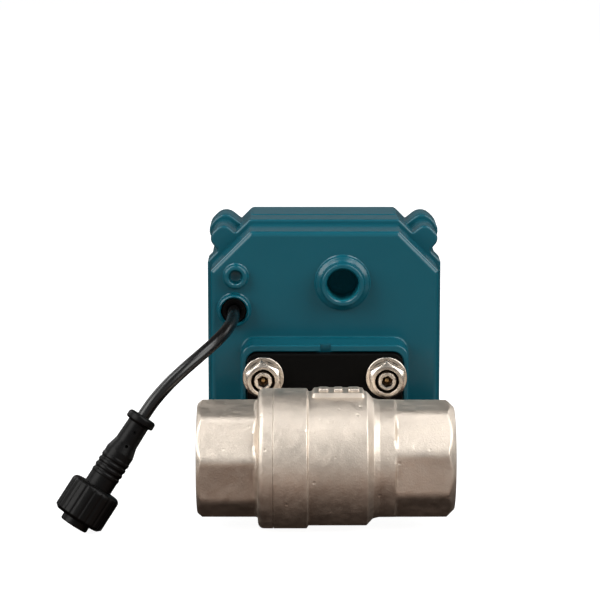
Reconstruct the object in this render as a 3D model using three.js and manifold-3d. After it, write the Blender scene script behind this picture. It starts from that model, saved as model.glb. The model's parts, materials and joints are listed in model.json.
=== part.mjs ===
// Small motorized ball valve: a two-piece DN15 (G 1/2) stainless ball valve carried by a compact
// electric quarter-turn actuator, with a short lead and a round waterproof plug.
// Millimetres. X runs along the pipe, Y along the stem from the valve into the actuator, +Z is up.
// The unit lies with its pipe axis level; z = 0 is the lowest line of the barrel and of the housing rim.
import * as THREE from "three";
import { mergeVertices } from "three/addons/utils/BufferGeometryUtils.js";
import Module from "manifold-3d";

// ---------------------------------------------------------------- driving dimensions
const Y_MID = 2.4; // moves the stem-direction middle of the unit to y = 0
const PIPE_Y = -33.7; // pipe axis, from the front face of the housing
const PIPE_Z = 16.4; // pipe axis above the resting plane

// housing
const HALF_W = 28.0; // half width of the housing walls
const LOW_Z = 1.1; // underside of the housing walls
const TOP_Z = 64.95; // top of the housing walls
const CORNER = 9.8; // leg of the corner chamfers
const RIM = 1.1; // how far the base rim stands proud
const WALL = 2.5; // wall thickness
const RIM_FRONT = 13.4; // rim starts here, along Y
const SPLIT = 27.6; // parting plane between the two shells
const RIM_BACK = 22.0; // rim ends here
const LIP = 0.45; // how far the rear cover stands proud of the base
const BACK = 44.7; // back of the rear cover
const SLACK = 0.15; // half of the gap left at the parting plane
const EAR_X = 25.3; // screw ears
const EAR_Z_TOP = 61.45;
const EAR_Z_LOW = 4.6;
const EAR_R = 2.65;
const COVER_EAR_R = 3.4;
const EAR_BACK = 39.0; // screw heads sit on the ears here
const PLATFORM_HALF = 20.25; // raised mounting platform on the front
const PLATFORM_TOP = 38.75;
const PLATFORM_OUT = 10.0;

// valve mounting
const PLATE_HALF = 18.7;
const PLATE_TOP = 36.8;
const PLATE_LOW = 3.4;
const PLATE_FRONT = -11.5;
const PLATE_BACK = -8.5;
const STUD_X = 14.87; // half of the 29.7 mm stud spacing
const STUD_Z = 31.25;

// ball valve
const BARREL_R = 16.4;
const STEP_R = 15.7;
const NECK_R = 13.7;
const END_X = 30.0; // half of the 60 mm overall length
const FLATS = 25.6; // across flats of the octagonal ends
const SOCKET_R = 9.4; // pipe socket at each end
const SOCKET_DEPTH = 13.0;
const PORT_R = 7.4;
const BALL_R = 11.9;

// gear train
const MODULE = 0.8;
const PRESSURE = THREE.MathUtils.degToRad(25);
const ADDENDUM = 0.8; // times the module
const DEDENDUM = 1.05;
const THINNING = 0.11; // tooth thickness taken off each gear at its pitch circle
const Z_OUT = 28;
const Z_WHEEL = 24;
const Z_PINION = 10;
const OUT_TO_C1 = ((Z_OUT + Z_PINION) / 2) * MODULE;
const C1_TO_C2 = ((Z_WHEEL + Z_PINION) / 2) * MODULE;
const A1 = THREE.MathUtils.degToRad(110); // direction from the output shaft to compound gear 1
const A2 = THREE.MathUtils.degToRad(60);
const A3 = THREE.MathUtils.degToRad(45);
const C1 = [OUT_TO_C1 * Math.cos(A1), PIPE_Z + OUT_TO_C1 * Math.sin(A1)];
const C2 = [C1[0] + C1_TO_C2 * Math.cos(A2), C1[1] + C1_TO_C2 * Math.sin(A2)];
const MOTOR = [C2[0] + C1_TO_C2 * Math.cos(A3), C2[1] + C1_TO_C2 * Math.sin(A3)];

// limit switches
const CAM_HIGH = 8.3;
const CAM_LOW = 6.8;
const CAM_GAP = 0.35;
const LEVER_T = 0.6;
const LEVER_L = 11.0;

// lead and plug
const LEAD_R = 1.5;
const LEAD_PATH = [
  [-22.2, -0.9, 45.7], [-22.2, -2.4, 45.7], [-22.17, -7.74, 45.48], [-22.54, -13.02, 44.8],
  [-23.83, -18.04, 43.58], [-26.18, -22.49, 41.82], [-29.32, -26.18, 39.6], [-32.9, -29.12, 36.94],
  [-36.57, -31.4, 33.81], [-40.03, -33.1, 30.13], [-42.5, -34.1, 26.71], [-43.47, -34.44, 25.23],
];
const PLUG_TIP = [-58.7, -39.8, 2.1];
const PLUG_AXIS = new THREE.Vector3(0.54, 0.19, 0.82).normalize();

const FACETS = 0.64; // facet density of the turned surfaces

// ---------------------------------------------------------------- solids
const wasm = await Module();
wasm.setup();
const { Manifold, Mesh } = wasm;

// A closed three.js geometry as a solid.
function solid(geometry) {
  const raw = geometry.index ? geometry.toNonIndexed() : geometry;
  let g = new THREE.BufferGeometry();
  g.setAttribute("position", raw.getAttribute("position").clone());
  g = mergeVertices(g, 1e-4);
  const p = g.attributes.position.array;
  const index = g.index.array;
  const faces = [];
  let volume = 0;
  for (let i = 0; i < index.length; i += 3) {
    const [a, b, c] = [index[i], index[i + 1], index[i + 2]];
    if (a === b || b === c || a === c) continue;
    faces.push([a, b, c]);
    const [A, B, C] = [a, b, c].map((k) => new THREE.Vector3(p[3 * k], p[3 * k + 1], p[3 * k + 2]));
    volume += A.dot(B.cross(C));
  }
  const flat = faces.flatMap(([a, b, c]) => (volume < 0 ? [a, c, b] : [a, b, c]));
  return new Manifold(
    new Mesh({ numProp: 3, vertProperties: new Float32Array(p), triVerts: new Uint32Array(flat) }),
  );
}

// Prism along Y of an outline given as [x, z] pairs.
function prismY(outline, y0, y1) {
  const shape = new THREE.Shape(outline.map(([x, z]) => new THREE.Vector2(x, z)));
  const g = new THREE.ExtrudeGeometry(shape, { depth: y1 - y0, bevelEnabled: false, steps: 1 });
  g.rotateX(Math.PI / 2);
  g.translate(0, y1, 0);
  return solid(g);
}

// Prism along X of an outline given as [y, z] pairs.
function prismX(outline, x0, x1) {
  const shape = new THREE.Shape(outline.map(([y, z]) => new THREE.Vector2(-z, y)));
  const g = new THREE.ExtrudeGeometry(shape, { depth: x1 - x0, bevelEnabled: false, steps: 1 });
  g.rotateY(Math.PI / 2);
  g.translate(x0, 0, 0);
  return solid(g);
}

// Turned solid about Y from [y, r] pairs; about X from [x, r] pairs. The profile is a closed loop.
const facets = (n) => Math.max(8, 4 * Math.round((n * FACETS) / 4));
function latheY(profile, segments = 32) {
  const pts = profile.map(([h, r]) => new THREE.Vector2(r, h));
  pts.push(pts[0].clone());
  return solid(new THREE.LatheGeometry(pts, facets(segments)));
}
function latheX(profile, segments = 40) {
  const pts = profile.map(([h, r]) => new THREE.Vector2(r, h));
  pts.push(pts[0].clone());
  const g = new THREE.LatheGeometry(pts, facets(segments));
  g.rotateZ(-Math.PI / 2);
  return solid(g);
}
const diskY = (r, y0, y1, segments = 24) => latheY([[y0, 0], [y0, r], [y1, r], [y1, 0]], segments);
const tubeY = (r0, r1, y0, y1, segments = 24) =>
  latheY([[y0, r0], [y0, r1], [y1, r1], [y1, r0]], segments);
const at = (s, x, y, z) => s.translate([x, y, z]);
const block = (x0, x1, y0, y1, z0, z1) => {
  const g = new THREE.BoxGeometry(x1 - x0, y1 - y0, z1 - z0);
  g.translate((x0 + x1) / 2, (y0 + y1) / 2, (z0 + z1) / 2);
  return solid(g);
};
const polygon = (n, r, turn = 0) =>
  Array.from({ length: n }, (_, i) => {
    const a = turn + (i * 2 * Math.PI) / n;
    return [r * Math.cos(a), r * Math.sin(a)];
  });

// Housing outline grown (or shrunk) by d, chamfered at all four corners.
function shell(d) {
  const w = HALF_W + d;
  const lo = LOW_Z - d;
  const hi = TOP_Z + d;
  const c = CORNER + d * (2 - Math.SQRT2);
  return [
    [-w, lo + c], [-w + c, lo], [w - c, lo], [w, lo + c],
    [w, hi - c], [w - c, hi], [-w + c, hi], [-w, hi - c],
  ];
}

// Rectangle in x and z with rounded corners of radius r.
function roundedRect(x0, x1, z0, z1, r, n = 3) {
  const out = [];
  const corners = [[x1 - r, z0 + r, -90], [x1 - r, z1 - r, 0], [x0 + r, z1 - r, 90], [x0 + r, z0 + r, 180]];
  for (const [cx, cz, a0] of corners)
    for (let i = 0; i <= n; i++) {
      const a = THREE.MathUtils.degToRad(a0 + (90 * i) / n);
      out.push([cx + r * Math.cos(a), cz + r * Math.sin(a)]);
    }
  return out;
}

// Outline of an involute gear, tooth centred on the direction "turn".
function gearOutline(teeth, turn) {
  const rp = (teeth * MODULE) / 2;
  const rb = rp * Math.cos(PRESSURE);
  const ra = rp + ADDENDUM * MODULE;
  const rf = rp - DEDENDUM * MODULE;
  const inv = (a) => Math.tan(a) - a;
  const half = Math.PI / (2 * teeth) - THINNING / 2 / rp;
  const widthAt = (r) => half + inv(PRESSURE) - inv(Math.acos(Math.min(1, rb / Math.max(r, rb))));
  const flank = rb > rf + 0.1 ? [rf, rb, ra] : [rf, ra];
  const out = [];
  for (let i = 0; i < teeth; i++) {
    const mid = turn + (i * 2 * Math.PI) / teeth;
    for (const r of flank) out.push([r, mid - widthAt(r)]);
    for (const r of [...flank].reverse()) out.push([r, mid + widthAt(r)]);
  }
  return out.map(([r, a]) => [r * Math.cos(a), r * Math.sin(a)]);
}

// ---------------------------------------------------------------- materials
const paint = (color, roughness, metalness) =>
  new THREE.MeshStandardMaterial({ color, roughness, metalness });
const TEAL = paint(0x165a68, 0.45, 0);
const STEEL = paint(0xb9ab98, 0.38, 1);
const BRIGHT = paint(0xc9c4bb, 0.22, 1);
const BLACK = paint(0x0e0d0d, 0.6, 0);
const RUBBER = paint(0x121212, 0.75, 0);
const PTFE = paint(0xe8e6df, 0.55, 0);
const ACETAL = paint(0xdcd8cc, 0.5, 0);
const BRASS = paint(0xb08d4a, 0.35, 1);
const BOARD = paint(0x1d5b34, 0.5, 0);
const CLEAR = paint(0xdfe8ea, 0.08, 0);
const SIGNAL = paint(0xc9a21a, 0.5, 0);

const unit = new THREE.Group();
const frame = new THREE.Group();
frame.position.y = Y_MID;
unit.add(frame);

function piece(name, body, material, x = 0, y = 0, z = 0, parent = frame) {
  const m = body.getMesh();
  const g = new THREE.BufferGeometry();
  const n = m.numProp;
  const p = new Float32Array((m.vertProperties.length / n) * 3);
  for (let i = 0; i * n < m.vertProperties.length; i++)
    p.set(m.vertProperties.subarray(i * n, i * n + 3), i * 3);
  g.setAttribute("position", new THREE.BufferAttribute(p, 3));
  g.setIndex(new THREE.BufferAttribute(new Uint32Array(m.triVerts), 1));
  g.computeVertexNormals();
  const mesh = new THREE.Mesh(g, material);
  mesh.name = name;
  mesh.position.set(x, y, z);
  parent.add(mesh);
  return mesh;
}

// ---------------------------------------------------------------- ball valve (origin on the pipe axis, under the stem)
const valve = new THREE.Group();
valve.position.set(0, PIPE_Y, PIPE_Z);
frame.add(valve);

// Octagonal end with a turned lead-in chamfer; "turn" is where its front corner points, below level.
function octagonEnd(x0, x1, turnDeg, tip, chamfer) {
  const r = FLATS / 2 / Math.cos(Math.PI / 8);
  const t = THREE.MathUtils.degToRad(turnDeg);
  const outline = Array.from({ length: 8 }, (_, i) => {
    const a = t + (i * Math.PI) / 4;
    return [-r * Math.cos(a), -r * Math.sin(a)];
  });
  const prism = prismX(outline, x0, x1);
  const s = Math.sign(tip);
  const cone = latheX(
    [[tip - s * 20, 0], [tip - s * 20, r + 2], [tip - s * (chamfer + 1.2), r + 0.7], [tip, r - chamfer * 1.15], [tip, 0]],
    40,
  );
  return prism.intersect(cone);
}

const neckTop = PLATE_FRONT - 0.3 - PIPE_Y; // local height of the valve's mounting pad
let body = latheX([
  [-12.2, 0], [-12.2, 15.9], [-11.7, BARREL_R], [-4.5, BARREL_R], [-4.2, STEP_R], [9.5, STEP_R],
  [11.2, 14.0], [11.8, NECK_R], [18, NECK_R - 1.2], [18, 0],
], 48)
  .add(octagonEnd(16.3, END_X, -16.2, END_X, 1.7))
  .add(latheY([[6, 0], [6, 9], [neckTop - 3, 9], [neckTop - 2.4, 12], [neckTop, 12], [neckTop, 7], [34.7, 7], [34.7, 0]], 32))
  .add(block(-3, 9, -3.6, 3.4, 15.2, 16.5)); // flat cast pad on top
body = body
  .subtract(latheX([
    [-13, 0], [-13, 13.3], [-6.5, 13.3], [-6.5, 12.4], [6.8, 12.4], [6.8, 10.2], [11.2, 10.2],
    [11.2, PORT_R], [END_X - SOCKET_DEPTH, PORT_R], [END_X - SOCKET_DEPTH, SOCKET_R], [END_X + 1, SOCKET_R], [END_X + 1, 0],
  ], 32))
  .subtract(latheY([[5, 0], [5, 5.6], [14.3, 5.6], [14.3, 3.3], [18.7, 3.3], [18.7, 5.0], [36, 5.0], [36, 0]], 24));
piece("valve_body", body, STEEL, 0, 0, 0, valve);

let cap = latheX([
  [-6.8, 0], [-6.8, 13.0], [-12.5, 13.0], [-12.5, 15.9], [-13.0, BARREL_R], [-14.4, BARREL_R],
  [-15.4, 15.6], [-15.9, 14.2], [-18, NECK_R - 1.2], [-18, 0],
], 48).add(octagonEnd(-END_X, -16.3, -7.7, -END_X, 1.0));
cap = cap
  .subtract(latheX([
    [-6, 0], [-6, 10.2], [-11.2, 10.2], [-11.2, PORT_R], [-END_X + SOCKET_DEPTH, PORT_R],
    [-END_X + SOCKET_DEPTH, SOCKET_R], [-END_X - 1, SOCKET_R], [-END_X - 1, 0],
  ], 32))
  .subtract(latheX([[-12.4, 13.0], [-12.4, 14.9], [-13.5, 14.9], [-13.5, 13.0]], 32));
piece("end_cap", cap, STEEL, 0, 0, 0, valve);
piece("body_gasket", latheX([[-12.5, 13.4], [-12.5, 14.6], [-13.3, 14.6], [-13.3, 13.4]], 28), PTFE, 0, 0, 0, valve);

const seat = (s) =>
  latheX([[s * 9.65, 7.7], [s * 10.9, 7.7], [s * 10.9, 9.9], [s * 7.1, 9.9]], 28);
piece("seat_ring_left", seat(-1), PTFE, 0, 0, 0, valve);
piece("seat_ring_right", seat(1), PTFE, 0, 0, 0, valve);

const ball = solid(new THREE.SphereGeometry(BALL_R, 20, 12).rotateX(Math.PI / 2))
  .subtract(latheX([[-14, 0], [-14, 7.3], [14, 7.3], [14, 0]], 28))
  .subtract(block(-2.3, 2.3, 9.2, 14, -6, 6));
piece("valve_ball", ball, BRIGHT, 0, 0, 0, valve);

const stem = latheY([
  [11.7, 0], [11.7, 5.0], [13.3, 5.0], [13.3, 3.0], [35.9, 3.0], [35.9, 0],
], 20)
  .add(block(-2.0, 2.0, 9.6, 12, -4.4, 4.4).intersect(diskY(4.8, 9, 12.5, 20)))
  .add(block(-2.2, 2.2, 35, 41.4, -2.2, 2.2).intersect(diskY(2.95, 34, 42, 20)));
piece("valve_stem", stem, BRIGHT, 0, 0, 0, valve);
piece("stem_thrust_washer", tubeY(3.25, 5.3, 13.5, 14.1, 20), PTFE, 0, 0, 0, valve);
piece("stem_packing", tubeY(3.25, 4.75, 19.0, 23.0, 20), PTFE, 0, 0, 0, valve);
piece("packing_gland", tubeY(3.3, 4.75, 23.2, 34.4, 20), BRASS, 0, 0, 0, valve);

// ---------------------------------------------------------------- mounting plate and its fasteners
const plate = prismY(roundedRect(-PLATE_HALF, PLATE_HALF, PLATE_LOW, PLATE_TOP, 2.2), PLATE_FRONT, PLATE_BACK)
  .subtract(at(diskY(7.3, PLATE_FRONT - 1, PLATE_BACK + 1, 32), 0, 0, PIPE_Z))
  .subtract(at(diskY(2.8, PLATE_FRONT - 1, PLATE_BACK + 1, 20), -STUD_X, 0, STUD_Z))
  .subtract(at(diskY(2.8, PLATE_FRONT - 1, PLATE_BACK + 1, 20), STUD_X, 0, STUD_Z));
piece("mounting_plate", plate, BLACK);
for (const [side, s] of [["left", -1], ["right", 1]]) {
  const stud = latheY([[-17.6, 0], [-17.6, 2.1], [-17.2, 2.5], [0.6, 2.5], [0.6, 0]], 20)
    .subtract(prismY(polygon(6, 1.45, Math.PI / 6), -18, -15.2));
  piece("stud_" + side, stud, BRASS, s * STUD_X, 0, STUD_Z);
  piece("washer_" + side, tubeY(2.8, 5.0, PLATE_FRONT - 1.2, PLATE_FRONT - 0.2, 28), BRIGHT, s * STUD_X, 0, STUD_Z);
  const turn = s < 0 ? THREE.MathUtils.degToRad(97) : Math.PI / 2;
  const nut = prismY(polygon(6, 4 / Math.cos(Math.PI / 6), turn), PLATE_FRONT - 5.4, PLATE_FRONT - 1.4)
    .intersect(latheY([[-17.3, 0], [-17.3, 3.6], [-16.5, 4.8], [-12.5, 4.8], [-12.5, 0]], 24))
    .subtract(diskY(2.8, -18, -12, 20));
  piece("nut_" + side, nut, BRIGHT, s * STUD_X, 0, STUD_Z);
}

// ---------------------------------------------------------------- housing
const SCREWS = [[-EAR_X, EAR_Z_TOP], [EAR_X, EAR_Z_TOP], [-EAR_X, EAR_Z_LOW], [EAR_X, EAR_Z_LOW]];
function ears(y0, y1, r) {
  let out = null;
  for (const [x, z] of SCREWS) {
    const u = [Math.sign(x) * Math.SQRT1_2, (z > 30 ? 1 : -1) * Math.SQRT1_2];
    const v = [u[1], -u[0]];
    const c = (a, b) => [x + u[0] * a + v[0] * b, z + u[1] * a + v[1] * b];
    const quad = [c(0, -r * 0.98), c(0, r * 0.98), c(-4.5, r + 0.9), c(-4.5, -r - 0.9)];
    if (THREE.ShapeUtils.area(quad.map(([a, b]) => new THREE.Vector2(a, b))) < 0) quad.reverse();
    const one = at(diskY(r, y0, y1, 16), x, 0, z).add(prismY(quad, y0, y1));
    out = out ? out.add(one) : one;
  }
  return out;
}

const BORE = 7.3;
const GLAND = [-22.2, 45.7];
const POSTS = [[-20.2, 11.2], [20.2, 11.2], [-20.6, 55.2], [21.6, 37.4]];
let base = prismY(shell(0), 0, SPLIT - SLACK)
  .add(prismY(shell(RIM), RIM_FRONT, RIM_BACK))
  .add(prismY(roundedRect(-PLATFORM_HALF, PLATFORM_HALF, LOW_Z, PLATFORM_TOP, 3), -PLATFORM_OUT, 0.5))
  .add(at(latheY([[0.5, 0], [0, 6.75], [-1.0, 6.5], [-2.4, 5.6], [-3.1, 5.35], [-3.1, 0]], 28), 4.4, 0, 52.7))
  .add(at(diskY(2.95, -2.0, 0.5, 20), -21.75, 0, 54.0))
  .add(at(diskY(3.95, -2.6, 0.5, 24), GLAND[0], 0, GLAND[1]))
  .add(ears(RIM_FRONT, SPLIT - SLACK, EAR_R));
base = base.subtract(prismY(shell(-WALL), WALL, SPLIT + 1));
base = base.add(at(diskY(9.3, 2, 4.2, 28), 0, 0, PIPE_Z)).add(at(diskY(5.3, 2, 8.4, 20), 4.4, 0, 52.7));
for (const [x, z] of POSTS) base = base.add(at(diskY(2.4, 2, 16.9, 12), x, 0, z));
for (const [x, z] of [C1, C2]) base = base.add(at(diskY(2.2, 2, 3.6, 14), x, 0, z));
base = base
  .subtract(prismY(roundedRect(-PLATE_HALF - 0.3, PLATE_HALF + 0.3, PLATE_LOW - 0.3, PLATE_TOP + 0.3, 2.4), -PLATFORM_OUT - 1, PLATE_BACK + 0.3))
  .subtract(block(-1.2, 1.5, -PLATFORM_OUT - 1, PLATE_BACK + 0.3, PLATE_TOP, PLATFORM_TOP + 1))
  .subtract(at(diskY(BORE, -12, 6, 32), 0, 0, PIPE_Z))
  .subtract(at(diskY(2.8, -12, 1.0, 20), -STUD_X, 0, STUD_Z))
  .subtract(at(diskY(2.8, -12, 1.0, 20), STUD_X, 0, STUD_Z))
  .subtract(at(diskY(4.05, -4, 7.0, 24), 4.4, 0, 52.7))
  .subtract(at(diskY(1.6, -4, -0.6, 16), -21.75, 0, 54.0))
  .subtract(at(diskY(3.125, -4, 4, 24), GLAND[0], 0, GLAND[1]))
  .subtract(prismY(shell(-0.3), SPLIT - 1.1, SPLIT + 1).subtract(prismY(shell(-1.7), SPLIT - 1.2, SPLIT + 2)));
for (const [x, z] of POSTS) base = base.subtract(at(diskY(1.2, 9, 18, 10), x, 0, z));
for (const [x, z] of [C1, C2]) base = base.subtract(at(diskY(1.25, 1.2, 4, 10), x, 0, z));
for (const [x, z] of SCREWS) base = base.subtract(at(diskY(1.5, SPLIT - 9.4, SPLIT + 1, 12), x, 0, z));
piece("base_housing", base, TEAL);

let cover = prismY(shell(LIP), SPLIT + SLACK, BACK - 2.6)
  .add(prismY(shell(-0.5), BACK - 2.7, BACK - 0.8))
  .add(prismY(shell(-1.9), BACK - 0.9, BACK))
  .add(ears(SPLIT + SLACK, EAR_BACK, COVER_EAR_R))
  .subtract(prismY(shell(-WALL), SPLIT - 1, BACK - WALL))
  .subtract(at(diskY(8.2, 40, 46, 28), 0, 0, PIPE_Z))
  .subtract(at(diskY(10.3, 43.4, 46, 28), 0, 0, PIPE_Z));
for (const [x, z] of SCREWS) cover = cover.subtract(at(diskY(1.5, 20, 46, 12), x, 0, z));
for (const [x, z] of SCREWS) cover = cover.subtract(at(diskY(2.6, EAR_BACK, 46, 16), x, 0, z));
piece("rear_cover", cover, TEAL);

piece("housing_seal", prismY(shell(-0.6), SPLIT - 0.8, SPLIT - 0.05).subtract(prismY(shell(-1.4), SPLIT - 1, SPLIT + 1)), RUBBER);
SCREWS.forEach(([x, z], i) => {
  const screw = latheY([
    [18.5, 0], [18.5, 1.2], [39.2, 1.2], [39.2, 2.3], [40.6, 2.3], [41.0, 1.8], [41.0, 0],
  ], 14).subtract(block(-0.3, 0.3, 40.1, 43, -1.5, 1.5)).subtract(block(-1.5, 1.5, 40.1, 43, -0.3, 0.3));
  piece("cover_screw_" + (i + 1), screw, BRIGHT, x, 0, z);
});
piece("window_lens", latheY([[43.6, 0], [43.6, 10.0], [44.7, 10.0], [45.3, 8.4], [45.3, 0]], 28), CLEAR, 0, 0, PIPE_Z);

// ---------------------------------------------------------------- gear train inside the housing
const PLATE_Y = 17.2;
let gearPlate = prismY(shell(-WALL - 0.6), PLATE_Y, PLATE_Y + 1.5)
  .subtract(at(diskY(5.3, 17, 19, 20), 0, 0, PIPE_Z))
  .subtract(at(diskY(1.3, 17, 19, 10), C1[0], 0, C1[1]))
  .subtract(at(diskY(1.3, 17, 19, 10), C2[0], 0, C2[1]))
  .subtract(at(diskY(3.3, 17, 19, 16), MOTOR[0], 0, MOTOR[1]))
  .subtract(block(-26, -17.5, 17, 19, 41, 50.5));
for (const [x, z] of POSTS) gearPlate = gearPlate.subtract(at(diskY(1.3, 17, 19, 10), x, 0, z));
piece("gear_plate", gearPlate, BRIGHT);
POSTS.forEach(([x, z], i) =>
  piece("plate_screw_" + (i + 1), latheY([[11, 0], [11, 0.9], [18.9, 0.9], [18.9, 2.0], [20.2, 1.6], [20.2, 0]], 10), BRIGHT, x, 0, z),
);

piece("front_bush", tubeY(5.25, 7.0, 1.4, 4.1, 24), ACETAL, 0, 0, PIPE_Z);
piece("rear_bush", latheY([[16.8, 3.85], [16.8, 5.0], [18.9, 5.0], [18.9, 6.0], [19.5, 6.0], [19.5, 3.85]], 20), ACETAL, 0, 0, PIPE_Z);
const shaft = latheY([[2.5, 0], [2.5, 5.0], [9.4, 5.0], [9.4, 3.6], [40.0, 3.6], [40.0, 0]], 24)
  .subtract(block(-2.45, 2.45, 1, 8.6, -2.45, 2.45));
piece("output_shaft", shaft, BRIGHT, 0, 0, PIPE_Z);

const outGear = prismY(gearOutline(Z_OUT, A1), 4.6, 8.6).subtract(diskY(5.25, 4, 9, 24));
piece("output_gear", outGear, ACETAL, 0, 0, PIPE_Z);

function compound(towardDriver, towardNext, y0, y1, y2) {
  const pinion = prismY(gearOutline(Z_PINION, towardDriver + Math.PI + Math.PI / Z_PINION), y0, y1);
  const wheel = prismY(gearOutline(Z_WHEEL, towardNext), y1 - 0.01, y2);
  return pinion.add(wheel).subtract(diskY(1.3, y0 - 1, y2 + 1, 12));
}
piece("compound_gear_1", compound(A1, A2, 4.2, 9.4, 12.2), ACETAL, C1[0], 0, C1[1]);
piece("compound_gear_2", compound(A2, A3, 9.0, 13.4, 16.2), ACETAL, C2[0], 0, C2[1]);
piece("gear_axle_1", diskY(1.0, 1.6, 18.6, 12), BRIGHT, C1[0], 0, C1[1]);
piece("gear_axle_2", diskY(1.0, 1.6, 18.6, 12), BRIGHT, C2[0], 0, C2[1]);
const rotor = prismY(gearOutline(Z_PINION, A3 + Math.PI + Math.PI / Z_PINION), 13.2, 16.6)
  .add(diskY(0.8, 12.8, 25.0, 12));
piece("motor_pinion", rotor, BRASS, MOTOR[0], 0, MOTOR[1]);
const can = latheY([[17.0, 1.1], [17.0, 3.0], [19.0, 3.0], [19.0, 7.5], [34.6, 7.5], [34.6, 2.4], [35.6, 2.4], [35.6, 0], [26, 0], [26, 1.1]], 28);
piece("motor_can", can, BRIGHT, MOTOR[0], 0, MOTOR[1]);

// ---------------------------------------------------------------- position sensing and drive electronics
// Cam outline: lobes rise and fall evenly over 90 degrees so each lever swings in step with the shaft.
const camAt = (deg) => {
  const d = ((deg % 360) + 360) % 360;
  const span = CAM_HIGH - CAM_LOW;
  if (d <= 90) return CAM_LOW + (span * d) / 90;
  if (d <= 180) return CAM_HIGH;
  if (d <= 270) return CAM_HIGH - (span * (d - 180)) / 90;
  return CAM_LOW;
};
const camOutline = Array.from({ length: 48 }, (_, i) => {
  const a = (i * 360) / 48;
  const r = camAt(a);
  return [r * Math.cos(THREE.MathUtils.degToRad(a)), r * Math.sin(THREE.MathUtils.degToRad(a))];
});
piece("limit_cam", prismY(camOutline, 20.6, 24.4).subtract(diskY(3.85, 20, 25, 20)), ACETAL, 0, 0, PIPE_Z);

for (const [which, s, r] of [["open", -1, CAM_HIGH], ["closed", 1, CAM_LOW]]) {
  const x0 = r + CAM_GAP;
  const blade = block(...(s < 0 ? [-x0 - LEVER_T, -x0] : [x0, x0 + LEVER_T]), 20.8, 24.2, -0.8, LEVER_L);
  const px = s * (x0 + LEVER_T / 2);
  const lever = blade
    .add(at(diskY(1.25, 20.8, 24.2, 12), px, 0, LEVER_L))
    .subtract(at(diskY(0.75, 20, 25, 10), px, 0, LEVER_L));
  piece("switch_lever_" + which, lever, BRIGHT, 0, 0, PIPE_Z);
  const bx = [s * 10.4, s * 17.2].sort((a, b) => a - b);
  const tab = [px, s * 10.8].sort((a, b) => a - b);
  const sw = block(bx[0], bx[1], 19.0, 26.2, 0.5, 14)
    .add(block(tab[0] - (s > 0 ? 1 : 0), tab[1] + (s < 0 ? 1 : 0), 24.6, 26.2, LEVER_L - 1.2, LEVER_L + 1.2))
    .add(at(diskY(0.45, 20.9, 25, 10), px, 0, LEVER_L));
  piece("microswitch_" + which, sw, BLACK, 0, 0, PIPE_Z);
}

const board = prismY([[-24, 27.5], [24, 27.5], [24, 52], [16.5, 59.5], [-16.5, 59.5], [-24, 52]], 36.2, 37.8);
piece("circuit_board", board, BOARD);
piece("board_spacer_1", prismY(polygon(6, 2.3), 19.0, 35.9), BRASS, -20.3, 0, 47.5);
piece("board_spacer_2", prismY(polygon(6, 2.3), 20.6, 35.9), BRASS, 21.6, 0, 36.6);
piece("terminal_block", block(-20, -7, 38.1, 41.8, 43.5, 51), ACETAL);
piece("control_relay", block(-2, 10, 38.1, 41.7, 31, 40), BLACK);
const dial = latheY([
  [38.6, 3.85], [38.6, 5.2], [40.6, 5.2], [40.6, 7.7], [42.0, 7.7], [42.0, 0], [40.3, 0], [40.3, 3.85],
], 24).add(block(-6.6, 6.6, 41.8, 42.7, -1.1, 1.1));
piece("indicator_dial", dial, SIGNAL, 0, 0, PIPE_Z);

// ---------------------------------------------------------------- lead and plug
piece("cable_grommet", latheY([[-2.4, 1.8], [-2.4, 2.8], [3.6, 2.8], [3.6, 1.8]], 20), RUBBER, GLAND[0], 0, GLAND[1]);
const path = new THREE.CatmullRomCurve3(LEAD_PATH.map((p) => new THREE.Vector3(...p)), false, "centripetal");
const ring = new THREE.Shape(polygon(8, LEAD_R).map(([a, b]) => new THREE.Vector2(a, b)));
piece("cable", solid(new THREE.ExtrudeGeometry(ring, { steps: 14, bevelEnabled: false, extrudePath: path })), RUBBER);

// Plug parts are turned about their own axis, from the tip.
const plug = new THREE.Group();
plug.position.set(...PLUG_TIP);
plug.quaternion.setFromUnitVectors(new THREE.Vector3(0, 1, 0), PLUG_AXIS);
frame.add(plug);
piece("connector_insert", latheY([
  [-0.3, 2.6], [-0.3, 3.2], [-0.05, 3.45], [9.0, 3.45], [9.0, 0], [4.5, 0], [4.5, 2.6],
], 24), BLACK, 0, 0, 0, plug);
piece("connector_nut", latheY([
  [1.3, 3.75], [1.3, 5.3], [2.1, 6.2], [8.9, 6.2], [10.2, 5.2], [10.2, 3.75],
], 32), BLACK, 0, 0, 0, plug);
piece("connector_boot", latheY([
  [9.3, 0], [9.3, 3.4], [13.0, 3.4], [13.4, 3.5], [17.8, 3.5], [18.2, 3.4], [20.0, 3.4], [22.4, 2.7],
  [27.85, 2.65], [27.85, 3.5], [29.85, 3.5], [29.85, 1.8], [27.85, 1.8], [27.85, 0],
], 24), RUBBER, 0, 0, 0, plug);

export default unit;
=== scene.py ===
"""Small motorized ball valve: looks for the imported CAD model.
Positions are written in millimetres in the design's own frame (x along the pipe, y from the housing's front face
along the stem, z up from the resting plane) and moved by Y_MID into the model's frame."""
import json
import math
from math import cos, sin, pi, radians, sqrt

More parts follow.
